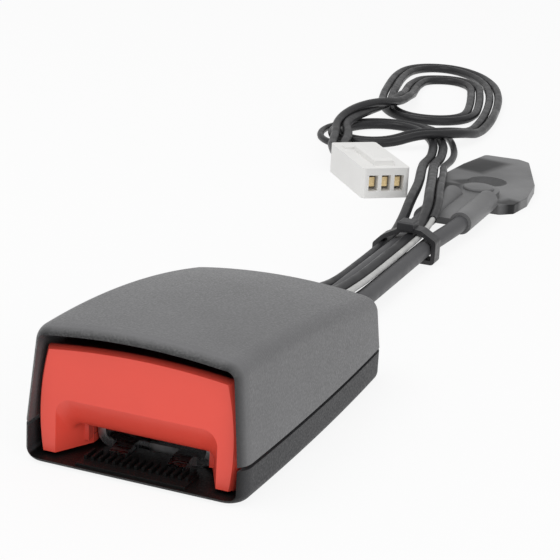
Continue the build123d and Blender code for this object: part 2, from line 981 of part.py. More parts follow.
def rope_fitting(x, spacing, eye, barrel_low, barrel_high):
    """An eye plate on top of a steel sheet, with a crimp barrel for each rope."""
    with BuildPart() as fitting:
        with BuildSketch(Plane.XY.offset(plate_top)):
            with Locations((x, at((eye + barrel_low) / 2))):
                Rectangle(fitting_width, abs(barrel_low - eye))
            with Locations((x, at(eye))):
                Circle(fitting_width / 2)
            with Locations((x, at((barrel_low + barrel_high) / 2))):
                Rectangle(spacing, abs(barrel_high - barrel_low))
        extrude(amount=fitting_sheet)
        for side in (-1, 1):
            add(
                round_bar(
                    x + side * spacing / 2,
                    min(barrel_low, barrel_high),
                    max(barrel_low, barrel_high),
                    rope_height,
                    rope_diameter + 2 * sleeve_wall,
                )
            )
        for side in (-1, 1):
            add(
                round_bar(
                    x + side * spacing / 2,
                    min(barrel_low, barrel_high),
                    max(barrel_low, barrel_high),
                    rope_height,
                    rope_diameter,
                ),
                mode=Mode.SUBTRACT,
            )
        with BuildSketch(Plane.XY.offset(plate_top)):
            with Locations((x, at(eye))):
                Circle(rivet_diameter / 2)
        extrude(amount=fitting_sheet, mode=Mode.SUBTRACT)
    return fitting.part


fitting_top = plate_top + fitting_sheet
save(rope_fitting(0, rope_spacing, rivet_station, sleeve_front, sleeve_end), "rope_fitting")
save(rope_fitting(clamp_shift, clamp_spacing, clamp_rivet, clamp_end, clamp_front), "plate_clamp")
rivet(0, rivet_station, floor_top, fitting_top, rivet_diameter, rivet_head, 1.5, "frame_rivet")
rivet(clamp_shift, clamp_rivet, 0, fitting_top, rivet_diameter, rivet_head, 0.8, "plate_rivet")


def tube(points, diameter, radius):
    """A round cord of straight runs joined by bends that touch them."""
    placed = [(x, at(station), z) for x, station, z in points]
    bends = []
    for before, corner, after in zip(placed, placed[1:], placed[2:]):
        arriving = Vector(*corner) - Vector(*before)
        leaving = Vector(*after) - Vector(*corner)
        half_turn = radians(arriving.get_angle(leaving)) / 2
        bends.append(min(radius, 0.45 * min(arriving.length, leaving.length) / tan(half_turn)))
    with BuildPart() as cord:
        with BuildLine():
            route = FilletPolyline(*placed, radius=bends)
        with BuildSketch(Plane(origin=route @ 0, z_dir=route % 0)):
            Circle(diameter / 2)
        sweep(path=route)
    print("cord", round(route.length, 1), "mm, tightest bend", round(min(bends), 1))
    return cord.part


rope_half = rope_spacing / 2
for side, name in ((-1, "rope_left"), (1, "rope_right")):
    rope = tube(
        [
            (side * rope_half, rope_front, rope_height),
            (side * rope_half, sleeve_end + 5.0, rope_height),
            (stalk_shift + side * rope_half, sleeve_end + 25.0, rope_height),
            (stalk_shift + side * rope_half, 172.0, rope_height),
            (clamp_shift + side * clamp_spacing / 2, clamp_front - 5, rope_height),
            (clamp_shift + side * clamp_spacing / 2, rope_rear, rope_height),
        ],
        rope_diameter,
        80,
    )
    save(rope, name)

# ---------------------------------------------------------------- anchor plate

with BuildPart() as anchor_plate:
    with BuildSketch() as plate_outline:
        with BuildLine():
            Polyline(
                (-8.0, at(plate_front)),
                (-10.0, at(229.0)),
                (-15.3, at(237.0)),
                (-16.0, at(251.0)),
                (-14.0, at(272.0)),
                (-11.0, at(288.5)),
                (1.0, at(288.5)),
                (5.0, at(286.0)),
                (14.0, at(258.0)),
                (16.0, at(241.0)),
                (14.6, at(230.0)),
                (11.0, at(plate_front)),
                close=True,
            )
        make_face()
        fillet(plate_outline.vertices(), 1.8)
    extrude(amount=plate_sheet)
    fillet(anchor_plate.edges().group_by(Axis.Z)[-1], 0.4)
    with BuildSketch():
        with Locations((bolt_x, at(bolt_station))):
            Circle(bolt_hole / 2)
        with Locations((clamp_shift, at(clamp_rivet))):
            Circle(rivet_diameter / 2)
    extrude(amount=plate_sheet, mode=Mode.SUBTRACT)
save(anchor_plate.part, "anchor_plate")

# ---------------------------------------------------------------- leads

lead_low = lead_diameter / 2 + 0.1
wire_low = wire_diameter / 2 + 0.1
heading = radians(connector_heading)


def plug_point(offset, back):
    """A point behind the connector's rear face, on the line of one of its leads."""
    x = connector_x - back * cos(heading) - offset * sin(heading)
    station = connector_station - back * sin(heading) + offset * cos(heading)
    return (x, station, connector_height / 2)


lead_a_run = [
    (-2.9, grommet_rear, 9.6),
    (-2.9, sleeve_end, 9.6),
    (-6.3, 106.0, 7.0),
    (-5.6, 124.0, 3.1),
    (-5.6, 152.0, 3.1),
    (-5.8, 174.0, 3.3),
    (-7.4, 188.0, 5.4),
    (-10.4, 203.0, 6.8),
    (-15.0, 226.0, 6.2),
    (-20.6, 246.0, 5.2),
    (-26.6, 268.0, lead_low),
    (-26.6, 284.0, lead_low),
]
lead_b_run = [
    (0.6, grommet_rear, 9.4),
    (0.6, sleeve_end, 9.4),
    (1.6, 118.0, 6.3),
    (1.5, 150.0, 6.3),
    (1.4, 174.0, 6.5),
    (-1.2, 191.0, 8.9),
    (-6.0, 208.0, 9.2),
    (-11.6, 228.0, 6.6),
    (-17.2, 248.0, 5.2),
    (-23.2, 269.0, lead_low),
    (-23.2, 284.0, lead_low),
]
signal_run = [
    (4.6, grommet_rear, 9.6),
    (4.6, sleeve_end, 9.6),
    (4.1, 118.0, 6.8),
    (4.1, 150.0, 6.8),
    (3.9, 174.0, 7.0),
    (1.6, 192.0, 8.9),
    (-3.6, 210.0, 9.4),
    (-9.2, 231.0, 6.4),
    (-14.8, 252.0, 5.0),
    (-20.4, 270.0, wire_low),
    (-20.4, 284.0, wire_low),
]
tail_height = connector_height / 2
lead_a_tail = [
    (plug_point(-cavity_pitch, 12.0)[0], 281.0, tail_height),
    plug_point(-cavity_pitch, 12.0),
    plug_point(-cavity_pitch, 0),
]
lead_b_tail = [
    (plug_point(0, 10.5)[0], 281.0, tail_height),
    plug_point(0, 10.5),
    plug_point(0, 0),
]
signal_tail = [
    (plug_point(cavity_pitch, 9.0)[0], 281.0, tail_height),
    plug_point(cavity_pitch, 9.0),
    plug_point(cavity_pitch, 0),
]
save(tube(lead_a_run, lead_diameter, 60), "lead_a")
save(tube(lead_b_run, lead_diameter, 60), "lead_b")
save(tube(signal_run, wire_diameter, 60), "signal_wire")
save(tube(lead_a_tail, lead_diameter, 60), "lead_a_tail")
save(tube(lead_b_tail, lead_diameter, 60), "lead_b_tail")
save(tube(signal_tail, wire_diameter, 60), "signal_wire_tail")

with BuildPart() as lead_hank:
    with BuildSketch() as hank_outline:
        with BuildLine():
            Polyline(
                (-34.0, at(284.0)),
                (-17.5, at(284.0)),
                (-19.5, at(312.0)),
                (-23.0, at(345.0)),
                (-30.0, at(385.0)),
                (-38.0, at(415.0)),
                (-50.0, at(433.0)),
                (-66.0, at(443.0)),
                (-80.0, at(445.0)),
                (-84.0, at(432.0)),
                (-81.0, at(406.0)),
                (-76.0, at(376.0)),
                (-68.0, at(346.0)),
                (-72.0, at(318.0)),
                (-73.0, at(298.0)),
                (-66.0, at(281.0)),
                (-46.0, at(281.0)),
                (-39.0, at(288.0)),
                close=True,
            )
        make_face()
        fillet(hank_outline.vertices().sort_by(Axis.Y)[6:], 5.0)
        with Locations((-60.5, at(371.0))):
            Ellipse(4.0, 15.0, rotation=12, mode=Mode.SUBTRACT)
    extrude(amount=hank_height)
save(lead_hank.part, "lead_hank")

# ---------------------------------------------------------------- cable tie and grommet

tie_outline = [
    (-7.5, 1.35),
    (-7.5, 3.6),
    (-5.6, 5.6),
    (-1.0, 8.1),
    (2.2, 8.5),
    (4.6, 8.2),
    (8.2, 6.1),
    (8.2, 1.35),
]
tie_crest = 8.5
with BuildPart() as cable_tie:
    with BuildSketch(across(tie_front)):
        with BuildLine():
            Polyline(*tie_outline, close=True)
        make_face()
        offset(amount=tie_strap)
        with BuildLine():
            Polyline(*tie_outline, close=True)
        make_face(mode=Mode.SUBTRACT)
    extrude(amount=-tie_width)
    with BuildSketch(Plane.XY.offset(tie_crest + tie_strap - 0.7)):
        with Locations((0.4, at(tie_front + tie_width / 2))):
            Rectangle(4.6, tie_width + 0.8)
    extrude(amount=2.2)
    fillet(cable_tie.edges().group_by(Axis.Z)[-1], 0.6)
save(cable_tie.part, "cable_tie")

with BuildPart() as rear_grommet:
    add(slab(-exit_width / 2, exit_width / 2, grommet_front, grommet_rear, floor_top, exit_top))
    fillet(rear_grommet.edges().group_by(Axis.Y)[-1], 0.6)
    add(
        slab(
            -fitting_width / 2,
            fitting_width / 2,
            grommet_front,
            grommet_rear,
            plate_top,
            fitting_top,
        ),
        mode=Mode.SUBTRACT,
    )
save(rear_grommet.part, "rear_grommet")

lead_entry = [
    (contact_x[0], lead_a_run[0][0] + 0.6),
    (contact_x[1], lead_b_run[0][0]),
]
inner_leads = [
    tube(
        [
            (start, contact_tail, switch_top - contact_sheet / 2),
            (start, contact_tail + 3.0, switch_top - contact_sheet / 2),
            (end, grommet_front - 2.4, 9.9),
            (end, grommet_front, 9.9),
        ],
        1.3,
        4,
    )
    for start, end in lead_entry
]
save(Compound(children=inner_leads), "inner_leads")

# ---------------------------------------------------------------- connector

connector_plane = Plane(
    origin=(connector_x, at(connector_station), 0),
    x_dir=(cos(heading), sin(heading), 0),
    z_dir=(0, 0, 1),
)
with BuildPart() as connector_housing:
    with BuildSketch(connector_plane):
        with Locations((connector_length / 2, 0)):
            RectangleRounded(connector_length, connector_width, 1.2)
    extrude(amount=connector_height)
    with BuildSketch(connector_plane.offset(connector_height)):
        with Locations((connector_length - 13.0, 0)):
            Rectangle(20.0, 6.4)
    extrude(amount=2.4)
    chamfer(connector_housing.edges().group_by(Axis.Z)[-1], 0.8)
    nose = Plane(
        origin=connector_plane.origin + connector_plane.x_dir * connector_length,
        x_dir=connector_plane.y_dir,
        z_dir=connector_plane.x_dir,
    )
    with BuildSketch(nose):
        with Locations((0, connector_height / 2)):
            with GridLocations(cavity_pitch, 0, 3, 1):
                Rectangle(cavity_pitch - 1.2, connector_height - 2 * connector_wall - 2)
    extrude(amount=-cavity_depth, mode=Mode.SUBTRACT)
    with BuildSketch(connector_plane.offset(connector_height)):
        with Locations((connector_length - 26.5, 0)):
            Rectangle(3.0, connector_width - 4.0)
    extrude(amount=-1.2, mode=Mode.SUBTRACT)
save(connector_housing.part, "connector_housing")

with BuildPart() as connector_lock:
    with BuildSketch(connector_plane.offset(connector_height - 1.2)):
        with Locations((connector_length - 26.5, 0)):
            Rectangle(3.0, connector_width - 4.0)
    extrude(amount=1.8)
save(connector_lock.part, "connector_lock")

with BuildPart() as connector_terminals:
    with BuildSketch(nose.offset(-cavity_depth)):
        with Locations((0, connector_height / 2)):
            with GridLocations(cavity_pitch, 0, 3, 1):
                Rectangle(2.0, 3.0)
    extrude(amount=cavity_depth - 2)
save(connector_terminals.part, "connector_terminals")
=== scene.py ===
import json
import math

import bmesh
import bpy
from mathutils import Matrix, Vector


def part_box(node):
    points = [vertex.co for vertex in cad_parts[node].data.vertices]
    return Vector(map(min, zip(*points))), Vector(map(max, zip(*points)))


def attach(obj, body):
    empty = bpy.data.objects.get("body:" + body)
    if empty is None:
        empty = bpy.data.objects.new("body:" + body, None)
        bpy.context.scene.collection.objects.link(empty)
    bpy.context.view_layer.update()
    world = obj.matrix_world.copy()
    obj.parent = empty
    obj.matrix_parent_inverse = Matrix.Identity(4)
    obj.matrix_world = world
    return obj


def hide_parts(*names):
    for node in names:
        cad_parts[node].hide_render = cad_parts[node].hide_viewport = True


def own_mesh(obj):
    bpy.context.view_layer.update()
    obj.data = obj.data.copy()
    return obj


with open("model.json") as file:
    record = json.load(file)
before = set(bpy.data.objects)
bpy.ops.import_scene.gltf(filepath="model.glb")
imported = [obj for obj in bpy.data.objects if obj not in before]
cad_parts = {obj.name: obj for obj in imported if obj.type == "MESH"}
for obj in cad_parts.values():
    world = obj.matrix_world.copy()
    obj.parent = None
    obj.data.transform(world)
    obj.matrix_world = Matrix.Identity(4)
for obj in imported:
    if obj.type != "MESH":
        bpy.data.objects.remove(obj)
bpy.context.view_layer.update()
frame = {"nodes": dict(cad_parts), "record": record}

nodes = frame["nodes"]
print("frame loaded")

# one finish for each slot of the record: colour as it should look (linear) and roughness,
# then the grain's spacing and depth in metres, or how fine the brushing is along each axis
finishes = {
    "housing_top": {
        "kind": "grain", "color": (0.150, 0.150, 0.154), "rough": 0.46, "cell": 0.00042, "depth": 0.00006,
    },
    "housing_base": {
        "kind": "grain", "color": (0.050, 0.050, 0.053), "rough": 0.50, "cell": 0.00042, "depth": 0.00005,
    },
    "guide": {
        "kind": "grain", "color": (0.007, 0.007, 0.007), "rough": 0.45, "cell": 0.0006, "depth": 0.00002,
    },
    "button": {
        "kind": "moulded", "color": (0.880, 0.088, 0.058), "rough": 0.33, "cell": 0.0011, "depth": 0.000012,
    },
    "acetal": {
        "kind": "moulded", "color": (0.030, 0.030, 0.032), "rough": 0.38, "cell": 0.001, "depth": 0.00001,
    },
    "nylon": {
        "kind": "moulded", "color": (0.860, 0.855, 0.840), "rough": 0.42, "cell": 0.0014, "depth": 0.000015,
    },
    "grommet": {
        "kind": "moulded", "color": (0.018, 0.018, 0.018), "rough": 0.62, "cell": 0.0008, "depth": 0.00002,
    },
    "tie": {
        "kind": "moulded", "color": (0.022, 0.022, 0.024), "rough": 0.36, "cell": 0.001, "depth": 0.00001,
    },
    "spring": {"kind": "metal", "color": (0.62, 0.63, 0.65), "rough": 0.28, "streak": (900, 900, 900)},
    "steel": {"kind": "metal", "color": (0.62, 0.63, 0.64), "rough": 0.30, "streak": (260, 2600, 260)},
    "latch": {"kind": "metal", "color": (0.12, 0.12, 0.125), "rough": 0.38, "streak": (2400, 300, 300)},
    "pin": {"kind": "metal", "color": (0.68, 0.69, 0.70), "rough": 0.20, "streak": (400, 3000, 3000)},
    "brass": {"kind": "metal", "color": (0.80, 0.62, 0.34), "rough": 0.30, "streak": (900, 900, 900)},
    "fitting": {"kind": "coated", "color": (0.045, 0.045, 0.048), "rough": 0.42, "shine": 0.3},
    "plate": {"kind": "coated", "color": (0.180, 0.180, 0.183), "rough": 0.40, "shine": 0.25},
    "rope": {"kind": "sleeve", "color": (0.088, 0.088, 0.092), "rough": 0.45, "shine": 0.3},
    "lead": {"kind": "sleeve", "color": (0.028, 0.028, 0.030), "rough": 0.36, "shine": 0.25},
    "wire": {"kind": "sleeve", "color": (0.560, 0.560, 0.550), "rough": 0.40, "shine": 0.4},
}

# how each kind of surface varies: (scale per metre, detail) of its noises, the span of a noise that is used,
# the darkest share of its colour, how far its roughness swings, and the strength and depth of its bumps
surfaces = {
    "grain": {
        "stains": (60, 3), "stainSpan": (0.3, 0.7), "darkest": 0.88,
        "speckle": (2200, 2), "glossSpan": (0.35, 0.65), "gloss": (-0.10, 0.12), "bump": 0.8,
    },
    "moulded": {
        "flow": (45, 2), "flowSpan": (0.3, 0.7), "darkest": 0.93,
        "rippleDetail": 4, "glossSpan": (0.3, 0.7), "gloss": (-0.05, 0.08), "bump": 0.7,
    },
    "metal": {
        "stains": (90, 3), "stainSpan": (0.3, 0.7), "darkest": 0.80,
        "streakDetail": 3, "glossSpan": (0.3, 0.7), "gloss": (-0.10, 0.14), "depth": 0.000008, "bump": 0.6,
    },
    "coated": {
        "clouds": (38, 4), "cloudSpan": (0.35, 0.68), "darkest": 0.72,
        "glossSpan": (0.3, 0.7), "gloss": (0.08, -0.08), "peel": (700, 2), "depth": 0.00002, "bump": 0.6,
    },
    "sleeve": {
        "rubs": (240, 4), "rubSpan": (0.32, 0.68), "darkest": 0.78,
        "glossSpan": (0.3, 0.7), "gloss": (-0.08, 0.12), "pores": (1500, 2), "depth": 0.00002, "bump": 0.6,
    },
}


def startMaterial(name, look, metallic=0.0):
    material = bpy.data.materials.new(name)
    material.use_nodes = True
    tree = material.node_tree
    shader = tree.nodes["Principled BSDF"]
    shader.inputs["Base Color"].default_value = (*look["color"], 1)
    shader.inputs["Roughness"].default_value = look["rough"]
    shader.inputs["Metallic"].default_value = metallic
    if "shine" in look:
        shader.inputs["Specular IOR Level"].default_value = look["shine"]
    return material, tree, shader


def addPlace(tree, output="Object"):
    return tree.nodes.new("ShaderNodeTexCoord").outputs[output]


def addNoise(tree, scale, detail, stretch=None):
    noise = tree.nodes.new("ShaderNodeTexNoise")
    noise.inputs["Scale"].default_value = scale
    noise.inputs["Detail"].default_value = detail
    place = addPlace(tree)
    if stretch:
        mapping = tree.nodes.new("ShaderNodeMapping")
        mapping.inputs["Scale"].default_value = stretch
        tree.links.new(place, mapping.inputs["Vector"])
        place = mapping.outputs["Vector"]
    tree.links.new(place, noise.inputs["Vector"])
    return noise.outputs["Fac"]


def addRange(tree, value, low, high, toLow, toHigh):
    ranger = tree.nodes.new("ShaderNodeMapRange")
    for socket, number in zip(ranger.inputs[1:5], (low, high, toLow, toHigh)):
        socket.default_value = number
    tree.links.new(value, ranger.inputs["Value"])
    return ranger.outputs["Result"]


def tintBy(tree, shader, value, span, look, darkest):
    # varies the colour between a darker one and itself
    mix = tree.nodes.new("ShaderNodeMix")
    mix.data_type = "RGBA"
    mix.inputs[6].default_value = (*[share * darkest for share in look["color"]], 1)
    mix.inputs[7].default_value = (*look["color"], 1)
    tree.links.new(addRange(tree, value, *span, 0, 1), mix.inputs["Factor"])
    tree.links.new(mix.outputs[2], shader.inputs["Base Color"])


def glossBy(tree, shader, value, span, look, gloss):
    swing = addRange(tree, value, *span, look["rough"] + gloss[0], look["rough"] + gloss[1])
    tree.links.new(swing, shader.inputs["Roughness"])


def bumpBy(tree, shader, height, depth, strength):
    bump = tree.nodes.new("ShaderNodeBump")
    bump.inputs["Strength"].default_value = strength
    bump.inputs["Distance"].default_value = depth
    tree.links.new(height, bump.inputs["Height"])
    tree.links.new(bump.outputs["Normal"], shader.inputs["Normal"])


def grainFinish(name, look, surface):
    # leather-like eroded grain of a moulded cover
    material, tree, shader = startMaterial(name, look)
    cells = tree.nodes.new("ShaderNodeTexVoronoi")
    cells.inputs["Scale"].default_value = 1 / look["cell"]
    tree.links.new(addPlace(tree), cells.inputs["Vector"])
    tintBy(tree, shader, addNoise(tree, *surface["stains"]), surface["stainSpan"], look, surface["darkest"])
    glossBy(tree, shader, addNoise(tree, *surface["speckle"]), surface["glossSpan"], look, surface["gloss"])
    bumpBy(tree, shader, cells.outputs["Distance"], look["depth"], surface["bump"])
    return material


def mouldedFinish(name, look, surface):
    # smooth plastic with faint flow marks
    material, tree, shader = startMaterial(name, look)
    ripple = addNoise(tree, 1 / look["cell"], surface["rippleDetail"])
    tintBy(tree, shader, addNoise(tree, *surface["flow"]), surface["flowSpan"], look, surface["darkest"])
    glossBy(tree, shader, ripple, surface["glossSpan"], look, surface["gloss"])
    bumpBy(tree, shader, ripple, look["depth"], surface["bump"])
    return material


def metalFinish(name, look, surface):
    # brushed or rolled metal, stained a little
    material, tree, shader = startMaterial(name, look, metallic=1.0)
    streaks = addNoise(tree, 1, surface["streakDetail"], look["streak"])
    tintBy(tree, shader, addNoise(tree, *surface["stains"]), surface["stainSpan"], look, surface["darkest"])
    glossBy(tree, shader, streaks, surface["glossSpan"], look, surface["gloss"])
    bumpBy(tree, shader, streaks, surface["depth"], surface["bump"])
    return material


def coatedFinish(name, look, surface):
    # satin dip coating over pressed steel: slight orange peel and cloudy gloss
    material, tree, shader = startMaterial(name, look)
    clouds = addNoise(tree, *surface["clouds"])
    tintBy(tree, shader, clouds, surface["cloudSpan"], look, surface["darkest"])
    glossBy(tree, shader, clouds, surface["glossSpan"], look, surface["gloss"])
    bumpBy(tree, shader, addNoise(tree, *surface["peel"]), surface["depth"], surface["bump"])
    return material


def sleeveFinish(name, look, surface):
    # soft vinyl with dust and rub marks along it
    material, tree, shader = startMaterial(name, look)
    rubs = addNoise(tree, *surface["rubs"])
    tintBy(tree, shader, rubs, surface["rubSpan"], look, surface["darkest"])
    glossBy(tree, shader, rubs, surface["glossSpan"], look, surface["gloss"])
    bumpBy(tree, shader, addNoise(tree, *surface["pores"]), surface["depth"], surface["bump"])
    return material


makers = {
    "grain": grainFinish, "moulded": mouldedFinish, "metal": metalFinish,
    "coated": coatedFinish, "sleeve": sleeveFinish,
}
materials = {}
for slot, look in finishes.items():
    materials[slot] = makers[look["kind"]](slot + "Finish", look, surfaces[look["kind"]])

# places where shade is painted into the colour, in metres: painted shade on the forward faces round the
# mouth, on the mouth's floor and on the button's top behind its brow, which get no light, and painted shade
# on the plate
shades = {
    "forward": (-0.75, -0.35),
    "upward": (0.5, 0.8),
    # painted shade: the covers' faces that look forward round the mouth are darkened where their walls lie in
    # shadow
    "rimShadeTop": {"fade": (-0.034, -0.030), "color": (0.012, 0.012, 0.013)},
    "rimShadeBase": {"fade": (-0.0385, -0.034), "color": (0.006, 0.006, 0.006)},
    # painted shade: the upward faces of the mouth's floor are made near black, as if no light reached them
    "mouthFloorShade": {"axis": 2, "fade": (0.003, 0.0034), "share": (1, 0), "color": (0.004, 0.004, 0.004)},
    # painted shade: the button's upward faces behind its brow are darkened where the cover's roof shades them
    "buttonTopShade": {"axis": 1, "fade": (-0.0348, -0.0338), "share": (0, 1), "color": (0.030, 0.004, 0.004)},
    # painted shade: dark patches of painted shadow and painted reflection on the plate, along these strips
    "plateShadePatches": {
        "color": (0.012, 0.012, 0.013),
        "strips": (
            {"start": (-0.0090, 0.1890), "end": (-0.0120, 0.2050), "width": 0.0130, "soft": 0.0010},
            {"start": (-0.0080, 0.2060), "end": (-0.0005, 0.2135), "width": 0.0080, "soft": 0.0010},
            {"start": (-0.0105, 0.2240), "end": (-0.0060, 0.2420), "width": 0.0120, "soft": 0.0016},
            {"start": (0.0125, 0.1880), "end": (0.0150, 0.1950), "width": 0.0080, "soft": 0.0014},
        ),
    },
    "dullShine": 0.2,  # of the lower cover and the guide, so that they don't mirror the button
}


def splitPlace(tree, output):
    axes = tree.nodes.new("ShaderNodeSeparateXYZ")
    tree.links.new(addPlace(tree, output), axes.inputs[0])
    return axes.outputs


def combine(tree, operation, first, second=0.0):
    node = tree.nodes.new("ShaderNodeMath")
    node.operation = operation
    for socket, value in zip(node.inputs, (first, second)):
        if isinstance(value, (int, float)):
            socket.default_value = value
        else:
            tree.links.new(value, socket)
    return node.outputs[0]


def shadeWhere(material, mask, shade):
    # mixes a shade over the finish where the mask is 1
    tree = material.node_tree
    shader = tree.nodes["Principled BSDF"]
    mix = tree.nodes.new("ShaderNodeMix")
    mix.data_type = "RGBA"
    mix.inputs[7].default_value = (*shade, 1)
    tree.links.new(mask, mix.inputs["Factor"])
    tree.links.new(shader.inputs["Base Color"].links[0].from_socket, mix.inputs[6])
    tree.links.new(mix.outputs[2], shader.inputs["Base Color"])


def shadeRim(material, rim):
    # shades the faces that look forward, near the mouth
    tree = material.node_tree
    near = addRange(tree, splitPlace(tree, "Object")[1], *rim["fade"], 1, 0)
    forward = addRange(tree, splitPlace(tree, "Normal")[1], *shades["forward"], 1, 0)
    shadeWhere(material, combine(tree, "MULTIPLY", near, forward), rim["color"])


def shadeTopFaces(material, area):
    # shades the faces that look up, on one side of a place along an axis
    tree = material.node_tree
    upward = addRange(tree, splitPlace(tree, "Normal")[2], *shades["upward"], 0, 1)
    inside = addRange(tree, splitPlace(tree, "Object")[area["axis"]], *area["fade"], *area["share"])
    shadeWhere(material, combine(tree, "MULTIPLY", upward, inside), area["color"])


def stripMask(tree, spot, strip):
    # 1 within half the width of the line between two points of the plate
    run = Vector(strip["end"]) - Vector(strip["start"])
    along = run.normalized()
    half = strip["width"] / 2
    x = combine(tree, "SUBTRACT", spot[0], strip["start"][0])
    y = combine(tree, "SUBTRACT", spot[1], strip["start"][1])
    forward = combine(
        tree, "ADD", combine(tree, "MULTIPLY", x, along.x), combine(tree, "MULTIPLY", y, along.y)
    )
    aside = combine(
        tree, "SUBTRACT", combine(tree, "MULTIPLY", x, along.y), combine(tree, "MULTIPLY", y, along.x)
    )
    past = combine(tree, "SUBTRACT", forward, run.length)
    beyond = combine(tree, "MAXIMUM", past, combine(tree, "MULTIPLY", forward, -1.0))
    reach = combine(tree, "MAXIMUM", combine(tree, "ABSOLUTE", aside), combine(tree, "ADD", beyond, half))
    return addRange(tree, reach, half - strip["soft"], half + strip["soft"], 1, 0)


def paintPlateShade(material, plateShadePatches):
    # paints dark patches of shade on the plate along its strips
    tree = material.node_tree
    spot = splitPlace(tree, "Object")
    masks = [stripMask(tree, spot, strip) for strip in plateShadePatches["strips"]]
    shadedPatches = masks[0]
    for mask in masks[1:]:
        shadedPatches = combine(tree, "MAXIMUM", shadedPatches, mask)
    shadeWhere(material, shadedPatches, plateShadePatches["color"])


for slot in ("housing_base", "guide"):
    shader = materials[slot].node_tree.nodes["Principled BSDF"]
    shader.inputs["Specular IOR Level"].default_value = shades["dullShine"]
shadeRim(materials["housing_top"], shades["rimShadeTop"])
shadeRim(materials["housing_base"], shades["rimShadeBase"])
shadeTopFaces(materials["housing_base"], shades["mouthFloorShade"])
shadeTopFaces(materials["button"], shades["buttonTopShade"])
paintPlateShade(materials["plate"], shades["plateShadePatches"])

for part in frame["record"]["subparts"]:
    mesh = nodes[part["node"]].data
    mesh.materials.clear()
    mesh.materials.append(materials[part["material_slot"]])
print("finishes made")

# floor, sky and lamps, in metres and watts
studio = {
    "floorSize": 6.0,
    "floorGrey": 0.8,
    "floorGlow": 0.88,  # share of plain white in the floor as the camera and gloss see it
    "skyStrength": 0.62,
    "lamps": {
        "key": {"power": 5.2, "size": 0.9, "place": (-0.35, -0.25, 1.05)},
        "side": {"power": 2.4, "size": 0.7, "place": (0.75, -0.55, 0.45)},
    },
    "target": (0.0, 0.05, 0.0),
}


def buildFloor():
    bm = bmesh.new()
    bmesh.ops.create_grid(bm, x_segments=1, y_segments=1, size=studio["floorSize"] / 2)
    mesh = bpy.data.meshes.new("floor")
    bm.to_mesh(mesh)
    bm.free()
    floor = bpy.data.objects.new("floor", mesh)
    bpy.context.collection.objects.link(floor)
    material = bpy.data.materials.new("paperFloor")
    material.use_nodes = True
    tree = material.node_tree
    tree.nodes.clear()
    paper = tree.nodes.new("ShaderNodeBsdfDiffuse")
    paper.inputs["Color"].default_value = (*[studio["floorGrey"]] * 3, 1)
    white = tree.nodes.new("ShaderNodeEmission")
    light = tree.nodes.new("ShaderNodeLightPath")
    seen = combine(tree, "MAXIMUM", light.outputs["Is Camera Ray"], light.outputs["Is Glossy Ray"])
    mix = tree.nodes.new("ShaderNodeMixShader")
    out = tree.nodes.new("ShaderNodeOutputMaterial")
    tree.links.new(combine(tree, "MULTIPLY", seen, studio["floorGlow"]), mix.inputs[0])
    tree.links.new(paper.outputs[0], mix.inputs[1])
    tree.links.new(white.outputs[0], mix.inputs[2])
    tree.links.new(mix.outputs[0], out.inputs["Surface"])
    mesh.materials.append(material)


def buildSky():
    world = bpy.data.worlds.new("studio")
    bpy.context.scene.world = world
    world.use_nodes = True
    tree = world.node_tree
    sky = tree.nodes["Background"]
    sky.inputs["Color"].default_value = (1, 1, 1, 1)
    sky.inputs["Strength"].default_value = studio["skyStrength"]
    white = tree.nodes.new("ShaderNodeBackground")
    light = tree.nodes.new("ShaderNodeLightPath")
    mix = tree.nodes.new("ShaderNodeMixShader")
    tree.links.new(light.outputs["Is Camera Ray"], mix.inputs[0])
    tree.links.new(sky.outputs[0], mix.inputs[1])
    tree.links.new(white.outputs[0], mix.inputs[2])
    tree.links.new(mix.outputs[0], tree.nodes["World Output"].inputs["Surface"])


def addLamp(name, look):
    lamp = bpy.data.lights.new(name, "AREA")
    lamp.energy = look["power"]
    lamp.shape = "DISK"
    lamp.size = look["size"]
    lampObject = bpy.data.objects.new(name, lamp)
    lampObject.location = look["place"]
    aim = Vector(studio["target"]) - Vector(look["place"])
    lampObject.rotation_euler = aim.to_track_quat("-Z", "Y").to_euler()
    bpy.context.collection.objects.link(lampObject)


# the camera: where it stands, the spot of the floor that it looks at, roll in degrees, lens in millimetres
cameraSetup = {
    "place": (0.132047, -0.303624, 0.138157),
    "aim": (-0.022533, 0.092281, 0.0),
    "roll": 3.158,
    "lens": 109.286,
    "sensor": 36.0,
    "clip": (0.01, 20.0),
}


def buildCamera():
    camera = bpy.data.cameras.new("camera")
    camera.lens = cameraSetup["lens"]
    camera.sensor_width = cameraSetup["sensor"]
    camera.clip_start, camera.clip_end = cameraSetup["clip"]
    cameraObject = bpy.data.objects.new("camera", camera)
    aim = Vector(cameraSetup["aim"]) - Vector(cameraSetup["place"])
    roll = Matrix.Rotation(math.radians(cameraSetup["roll"]), 3, "Z")
    turn = aim.to_track_quat("-Z", "Y").to_matrix() @ roll
    cameraObject.matrix_world = Matrix.Translation(cameraSetup["place"]) @ turn.to_4x4()
    bpy.context.collection.objects.link(cameraObject)
    bpy.context.scene.camera = cameraObject


buildFloor()
buildSky()
for name, look in studio["lamps"].items():
    addLamp(name, look)
buildCamera()
bpy.context.scene.view_settings.view_transform = "Standard"
print("studio ready")

